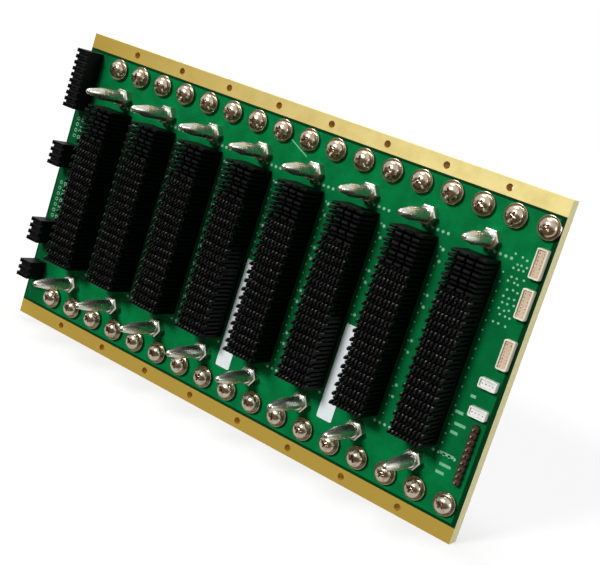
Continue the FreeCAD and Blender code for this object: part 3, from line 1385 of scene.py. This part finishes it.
@dataclass
class ShroudedHeader:
    """A pale header: a rounded shroud around rows of contacts."""

    node: str
    shade: Shade
    inside: Shade
    slot: Slot
    columns: int
    pitch_x: float
    rows: int = 1
    pitch_z: float = 0.0
    wall: float = 0.6
    floor: float = 1.7
    corner: float = 0.6
    rim: float = 0.15
    rim_corner: float = 0.5
    lip: float = 0.5
    lip_corner: float = 0.4
    well_corner: float = 0.3
    drop: float = 0.2
    insert_gap: float = 0.05
    insert_root: float = 0.1
    insert_rise: float = 0.2
    contact: Pair = (0.3, 0.4)
    contact_drop: float = 0.35
    ease: float = 0.1

    def build(self, bench: Bench) -> None:
        """Makes the shroud, its floor and its contacts.

        Args:
            bench: what makes and keeps the pieces.
        """
        place = Place.of(self.node)
        top = place.height
        outer = place.outline(0.0, self.corner)
        well = place.outline(self.wall, self.well_corner)
        levels = [
            (outer, 0.0),
            (outer, top - self.drop),
            (place.outline(self.rim, self.rim_corner), top),
            (place.outline(self.lip, self.lip_corner), top),
            (well, top - self.drop),
            (well, self.floor),
        ]
        shroud = Shape().skin(levels, place.centre)
        bench.solid(f"{self.node}_shroud", shroud, self.shade, self.slot, self.node)
        gap = 2 * (self.wall + self.insert_gap)
        span = (self.floor - self.insert_root, self.floor + self.insert_rise)
        insert = Shape().block(place.width - gap, place.length - gap, span, place.centre, self.ease)
        bench.solid(f"{self.node}_insert", insert, self.inside, self.slot)
        span = (self.floor, top - self.contact_drop)
        contact = Shape().block(*self.contact, span, ease=self.ease)
        field = Field.centred(place.centre, self.columns, self.rows, self.pitch_x, self.pitch_z)
        bench.many(f"{self.node}_contacts", contact, field, Shade.GOLD, Slot.GOLD)


@dataclass
class PinHeader:
    """A moulded strip with one row of square pins."""

    strip: str = "pin_header_strip"
    pins: str = "pin_header_pins"
    pitch: float = 2.54
    corner: float = 0.55
    rim_corner: float = 0.5
    ease: float = 0.15
    pin: float = 0.64
    pin_root: float = 0.3
    point: float = 0.3
    point_length: float = 0.6

    def build(self, bench: Bench) -> None:
        """Makes the strip and its pins.

        Args:
            bench: what makes and keeps the pieces.
        """
        place = Place.of(self.strip)
        ways = round(place.length / self.pitch)
        field = Field.centred(place.centre, rows=ways, pitch_z=self.pitch)
        side = rectangle(place.width, self.pitch, self.corner, steps=1)
        rim = rectangle(
            place.width - 2 * self.ease, self.pitch - 2 * self.ease, self.rim_corner, steps=1
        )
        cell = Shape().skin([(side, 0.0), (side, place.height - self.ease), (rim, place.height)])
        bench.many("pin_header_cells", cell, field, Shade.BROWN, Slot.BROWN, self.strip)
        top = Place.of(self.pins).height
        square = rectangle(self.pin, self.pin)
        post = Shape().skin(
            [
                (square, place.height - self.pin_root),
                (square, top - self.point_length),
                (rectangle(self.point, self.point), top),
            ]
        )
        bench.many("pin_header_posts", post, field, Shade.GOLD, Slot.GOLD, self.pins)


@dataclass
class BlankLabel:
    """A plain paper label stuck on the board."""

    node: str
    radius: float = 0.6
    edge: Pair = (0.06, 0.05)

    def build(self, bench: Bench) -> None:
        """Makes the sheet.

        Args:
            bench: what makes and keeps the pieces.
        """
        place = Place.of(self.node)
        inward, down = self.edge
        outer = place.outline(0.0, self.radius)
        rim = place.outline(inward, self.radius)
        levels = [(outer, 0.0), (outer, place.height - down), (rim, place.height)]
        sheet = Shape().skin(levels, place.centre)
        bench.solid(f"{self.node}_sheet", sheet, Shade.PAPER, Slot.PAPER, self.node)


@dataclass(frozen=True)
class Bar:
    """One straight printed line between two places on the board."""

    start: Pair
    end: Pair
    width: float = 1.1

    def draw(self, shape: Shape, thickness: float) -> None:
        """Adds the line to a shape.

        Args:
            shape: the print.
            thickness: the thickness of the ink.
        """
        start, end = Vector(self.start), Vector(self.end)
        along = end - start
        side = Vector((-along.y, along.x)).normalized() * (self.width / 2)
        corners = [tuple(corner) for corner in (end + side, start + side, start - side, end - side)]
        shape.skin([(corners, 0.0), (corners, thickness)])


@dataclass
class BoardPrint:
    """White print and tinned pads on the front of the board.

    A start is counted from the lower right corner of a column, and an end from the middle of its
    upper or lower end.
    """

    ink: float = 0.05
    end_pad: float = 0.6
    end_pitch: float = 2.2
    end_pads_in_row: int = 5
    upper_end: Pair = (1.2, 2.3)
    lower_end: Pair = (6.4, -2.0)
    gap_pad: float = 0.65
    gap_start: Pair = (3.2, 9.0)
    gap_rows: int = 4
    pair_rise: float = 4.5
    pair_pitch: float = 17.5
    dot: float = 0.35
    dot_start: Pair = (1.9, 1.8)
    dot_pitch: float = 3.6
    right_pad: float = 0.45
    right_field: Field = Field((99.6, 16.2), 3, 11, 2.1, 2.4, stagger=0.9, jitter=0.55)
    bars: tuple[Bar, ...] = (
        Bar((98.7, -23.1), (103.2, -23.1)),
        Bar((97.1, -35.0), (103.0, -35.0)),
        Bar((98.4, -38.9), (103.1, -38.9)),
        Bar((97.5, -18.9), (100.8, -18.9)),
        Bar((98.3, -26.5), (101.3, -26.5)),
        Bar((101.0, -11.5), (103.1, -11.5)),
        Bar((98.0, -42.0), (101.4, -42.0)),
        Bar((-2.4, 50.7), (6.5, 46.4), 0.4),
        Bar((-110.7, -48.9), (-109.1, -48.9), 1.6),
    )
    left_pad: float = 0.8
    # A dark disc on each pad is painted shade for the inside of its hole.
    left_hole_shade: float = 0.5
    left_hole_shade_rise: float = 0.01
    left_sides: int = 10
    left_pitch: float = 2.54
    left_x: float = -111.4
    left_lower: tuple[int, float] = (7, -17.4)
    left_upper: tuple[int, float] = (4, 19.4)

    def pads(self, bench: Bench, name: str, pad: Shape, field: Field) -> None:
        """Keeps one field of tinned pads."""
        bench.many(name, pad, field, Shade.SOLDER, Slot.TERMINAL)

    def end_pads(self, bench: Bench, column: ConnectorColumn) -> None:
        """Sets the short rows of pads above and below every column.

        Args:
            bench: what makes and keeps the pieces.
            column: the first column.
        """
        low, high = column.place(Connector.LOWER), column.place(Connector.UTILITY)
        for name, (x, z), end in (
            ("upper", self.upper_end, high.z[1]),
            ("lower", self.lower_end, low.z[0]),
        ):
            row = Shape()
            for dot in range(self.end_pads_in_row):
                row.disc(self.end_pad, self.ink, (dot * self.end_pitch, 0.0))
            field = Field((low.centre[0] + x, end + z), SLOT_COUNT, pitch_x=SLOT_PITCH)
            self.pads(bench, f"{name}_end_pads", row, field)

    def gap_pads(self, bench: Bench, column: ConnectorColumn) -> None:
        """Sets pairs of pads up every gap between columns.

        Args:
            bench: what makes and keeps the pieces.
            column: the first column.
        """
        pair = Shape()
        for rise in (0.0, self.pair_rise):
            pair.disc(self.gap_pad, self.ink, (0.0, rise))
        place = column.place(Connector.LOWER)
        start = (place.x[1] + self.gap_start[0], place.z[0] + self.gap_start[1])
        field = Field(start, SLOT_COUNT - 1, self.gap_rows, SLOT_PITCH, self.pair_pitch)
        self.pads(bench, "gap_pads", pair, field)

    def column_pads(self, bench: Bench, column: ConnectorColumn) -> None:
        """Sets the row of pads along the right foot of every column.

        Args:
            bench: what makes and keeps the pieces.
            column: the first column.
        """
        place = column.place(Connector.LOWER)
        rows = int((column.place(Connector.UTILITY).z[1] - place.z[0]) / self.dot_pitch)
        start = (place.x[1] + self.dot_start[0], place.z[0] + self.dot_start[1])
        field = Field(start, SLOT_COUNT, rows, SLOT_PITCH, self.dot_pitch)
        self.pads(bench, "column_pads", Shape().disc(self.dot, self.ink), field)

    def right_side(self, bench: Bench) -> None:
        """Sets the pads left of the right-hand headers, and prints the bars.

        Args:
            bench: what makes and keeps the pieces.
        """
        self.pads(bench, "right_pads", Shape().disc(self.right_pad, self.ink), self.right_field)
        shape = Shape()
        for bar in self.bars:
            bar.draw(shape, self.ink)
        bench.solid("right_print", shape, Shade.INK, Slot.PAPER)

    def left_side(self, bench: Bench) -> None:
        """Sets the free pads between the edge headers, each with a dark disc on it as painted shade for
        its hole.

        Args:
            bench: what makes and keeps the pieces.
        """
        for name, (rows, z) in (("lower", self.left_lower), ("upper", self.left_upper)):
            field = Field((self.left_x, z), 2, rows, self.left_pitch, self.left_pitch)
            pad = Shape().disc(self.left_pad, self.ink, sides=self.left_sides)
            self.pads(bench, f"left_{name}_pads", pad, field)
            # A flat dark disc on each pad is painted shade standing for the inside of a hole.
            hole_shade = Shape().disc(self.left_hole_shade, self.ink + self.left_hole_shade_rise, sides=self.left_sides)
            bench.many(f"left_{name}_holes", hole_shade, field, Shade.SPRING, Slot.TERMINAL)

    def build(self, bench: Bench) -> None:
        """Makes all print and pads.

        Args:
            bench: what makes and keeps the pieces.
        """
        first = ConnectorColumn(1)
        self.end_pads(bench, first)
        self.gap_pads(bench, first)
        self.column_pads(bench, first)
        self.right_side(bench)
        self.left_side(bench)


@dataclass
class RearSide:
    """The hidden side: screws of the guide pins, terminal rings and the ends of the press-fit tails.

    Turned forms are given by radii, each with its height over the rear face.
    """

    back: float = -5.6
    head: Profile = ((3.0, 0.6), (3.0, 1.6), (2.5, 2.2), (1.4, 2.5))
    washer: Profile = ((4.0, 0.0), (4.0, 0.55), (3.85, 0.7), (2.0, 0.7))
    socket: Profile = ((1.3, 1.2), (1.3, 3.0))
    ring: Profile = ((3.6, 0.0), (3.5, 0.2), (2.1, 0.2), (2.0, 0.05))
    tail_pad: Profile = ((0.42, 0.0), (0.42, 0.05))
    tail: float = 0.26
    tail_reach: float = 0.5

    def behind(self, profile: Profile) -> Outline:
        """Counts the heights of a profile from the board's front face, where the rear is below zero."""
        return [(radius, self.back - height) for radius, height in profile]

    def screws(self, bench: Bench) -> None:
        """Makes the socket-head screws that hold the guide pins.

        Args:
            bench: what makes and keeps the pieces.
        """
        upper, lower = (Place.of(f"{row}_guide_pins").centre for row in ("upper", "lower"))
        middle = (lower[0], (upper[1] + lower[1]) / 2)
        socket = Shape().turned(self.behind(self.socket), HEXAGON)
        screw = Shape().turned(self.behind(self.head)).cut(socket).turned(self.behind(self.washer))
        field = Field.centred(middle, SLOT_COUNT, 2, SLOT_PITCH, upper[1] - lower[1])
        bench.many("rear_guide_pin_screws", screw, field, Shade.STEEL, Slot.STEEL, smooth=SMOOTH)

    def rings(self, bench: Bench) -> None:
        """Makes the soldered rings behind both rows of terminals.

        Args:
            bench: what makes and keeps the pieces.
        """
        for row in ("upper", "lower"):
            terminals = PowerTerminals(f"{row}_power_terminals")
            centre = Place.of(terminals.node).centre
            field = Field.centred(centre, columns=terminals.count, pitch_x=terminals.pitch)
            ring = Shape().turned(self.behind(self.ring))
            name = f"rear_{terminals.node}_rings"
            bench.many(name, ring, field, Shade.TERMINAL, Slot.TERMINAL, smooth=SMOOTH)

    def tails(self, bench: Bench) -> None:
        """Makes the ends of the press-fit tails behind every column.

        Args:
            bench: what makes and keeps the pieces.
        """
        span = (self.back - self.tail_reach, self.back)
        for slot in range(1, SLOT_COUNT + 1):
            column = ConnectorColumn(slot)
            tail = Shape().turned(self.behind(self.tail_pad), PAD_SIDES).block(self.tail, self.tail, span)
            count = sum(column.wafers(kind) for kind in Connector)
            x = column.place(Connector.LOWER).centre[0]
            z = column.first_wafer(Connector.LOWER) + (count - 1) * column.pitch / 2
            field = Field.centred((x, z), column.towers, count, column.tower_pitch, column.pitch)
            bench.many(f"slot_{slot}_tails", tail, field, Shade.SOLDER, Slot.TERMINAL)

    def build(self, bench: Bench) -> None:
        """Makes what stands on the rear face.

        Args:
            bench: what makes and keeps the pieces.
        """
        self.screws(bench)
        self.rings(bench)
        self.tails(bench)


@dataclass(frozen=True)
class Lamp:
    """A broad sun: the direction to it, its irradiance and the angle in degrees that it fills."""

    name: str
    towards: Direction
    strength: float
    width: float

    def hang(self) -> None:
        """Adds the lamp to the scene."""
        data = bpy.data.lights.new(self.name, "SUN")
        data.energy = self.strength
        data.angle = math.radians(self.width)
        made = new_object(self.name, data)
        made.rotation_euler = Vector(self.towards).to_track_quat("Z", "Y").to_euler()


@dataclass
class Studio:
    """Camera, floor and light, with their places in metres."""

    camera_at: Direction = (0.24146, -0.37459, 0.08242)
    right: Direction = (0.79119, 0.53222, 0.30128)
    up: Direction = (-0.35368, -0.00371, 0.93536)
    view: Direction = (-0.49893, 0.84660, -0.18530)
    lens: float = 69.19
    sensor: float = 36.0
    clip: Pair = (0.01, 100.0)
    floor: float = -0.06435
    floor_reach: float = 40.0
    pale: Colour = (0.95, 0.95, 0.95)
    bounce: Colour = (0.22, 0.22, 0.22)
    glow: float = 0.7
    card_sides: Pair = (-2.0, 3.0)
    card_near: float = -0.02
    card_far: float = -2.5
    card_top: float = 0.7
    card_lift: float = 0.001
    card_colour: Colour = (0.12, 0.075, 0.03)
    sky: Colour = (1.0, 1.0, 1.0)
    level: float = 0.06
    lamps: tuple[Lamp, ...] = (
        Lamp("key", (-0.20, -0.88, 0.43), 3.0, 14.0),
        Lamp("top", (-0.30, -0.08, 1.0), 2.0, 30.0),
        Lamp("fill", (0.97, 0.10, 0.22), 1.0, 20.0),
        Lamp("back", (0.30, 0.93, 0.10), 2.0, 30.0),
    )

    def camera(self) -> None:
        """Stands the camera where the photo was taken from."""
        data = bpy.data.cameras.new("camera")
        data.lens = self.lens
        data.sensor_width = self.sensor
        data.clip_start, data.clip_end = self.clip
        made = new_object("camera", data)
        turn = Matrix((self.right, self.up, tuple(-part for part in self.view))).transposed().to_4x4()
        made.matrix_world = Matrix.Translation(self.camera_at) @ turn
        bpy.context.scene.camera = made

    def seen(self, graph: Graph) -> Signal:
        """A mask of the rays that show the background: straight, mirrored or through glass."""
        ray = graph.node("ShaderNodeLightPath", output="Is Camera Ray")
        return ray.most(ray.output("Is Glossy Ray")).most(ray.output("Is Transmission Ray"))

    def prop(
        self,
        name: str,
        corners: Sequence[Direction],
        faces: Sequence[Sequence[int]],
        material: bpy.types.Material,
    ) -> bpy.types.Object:
        """Sets up something that isn't part of the object.

        Args:
            name: its name.
            corners: its points.
            faces: the numbers of the points round each face.
            material: its material.

        Returns:
            The prop.
        """
        data = bpy.data.meshes.new(name)
        data.from_pydata(corners, [], faces)
        data.materials.append(material)
        made = new_object(name, data)
        return made

    def ground(self) -> None:
        """Lays the white floor, which keeps the object's soft shadow."""
        coat = Coat("floor")
        seen = self.seen(coat)
        matt = coat.node("ShaderNodeBsdfDiffuse", None, {"Color": coat.mix(seen, self.bounce, self.pale)})
        glow = coat.node("ShaderNodeEmission", None, {"Strength": 1.0})
        both = coat.node("ShaderNodeMixShader", None, {0: seen * self.glow, 1: matt, 2: glow})
        corners = [(sx * self.floor_reach, sy * self.floor_reach, self.floor) for sx, sy in CORNERS]
        self.prop("floor", corners, [(0, 1, 2, 3)], coat.close(both))

    def card(self) -> None:
        """Stands a bent dark card in front of the object, which only shows in its metal."""
        coat = Coat("card")
        matt = coat.node("ShaderNodeBsdfDiffuse", None, {"Color": self.card_colour})
        low = self.floor + self.card_lift
        bends = [(self.card_near, low), (self.card_far, low), (self.card_far, self.card_top)]
        corners = [(x, y, z) for y, z in bends for x in self.card_sides]
        made = self.prop("card", corners, [(0, 1, 3, 2), (2, 3, 5, 4)], coat.close(matt))
        made.visible_camera = False
        made.visible_diffuse = False
        made.visible_shadow = False

    def world(self) -> None:
        """Fills the surroundings: white to look at, softer as a light."""
        world = bpy.data.worlds.new("studio")
        bpy.context.scene.world = world
        world.use_nodes = True
        graph = Graph(world.node_tree)
        strength = self.seen(graph) * (1.0 - self.level) + self.level
        sky = graph.node("ShaderNodeBackground", None, {"Color": self.sky, "Strength": strength})
        graph.node("ShaderNodeOutputWorld", None, {"Surface": sky})

    def build(self) -> None:
        """Sets up the whole studio."""
        self.camera()
        self.ground()
        self.card()
        self.world()
        for lamp in self.lamps:
            lamp.hang()
        bpy.context.scene.view_settings.view_transform = "Standard"


def main() -> None:
    """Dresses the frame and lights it."""
    logging.basicConfig(level=logging.INFO, format="%(name)s: %(message)s")
    bench = Bench(Palette(), FieldTree())
    Board().dress(bench)
    for slot in range(1, SLOT_COUNT + 1):
        ConnectorColumn(slot).build(bench)
    for row in ("upper", "lower"):
        GuidePins(f"{row}_guide_pins").build(bench)
        PowerTerminals(f"{row}_power_terminals").build(bench)
    for place in ("long", "middle", "low", "bottom"):
        EdgeHeader(f"{place}_edge_header").build(bench)
    for place in ("upper", "middle", "lower"):
        ShroudedHeader(
            f"{place}_cream_header",
            Shade.CREAM,
            # The floor of the well, in painted shade.
            Shade.PEACH,
            Slot.CREAM,
            columns=2,
            rows=7,
            pitch_x=1.6,
            pitch_z=1.27,
        ).build(bench)
    for place in ("upper", "lower"):
        ShroudedHeader(
            f"{place}_white_header", Shade.WHITE, Shade.WHITE, Slot.WHITE, columns=4, pitch_x=1.4
        ).build(bench)
    PinHeader().build(bench)
    for side in ("left", "right"):
        BlankLabel(f"{side}_blank_label").build(bench)
    BoardPrint().build(bench)
    RearSide().build(bench)
    Studio().build()


if __name__ == "__main__":
    main()
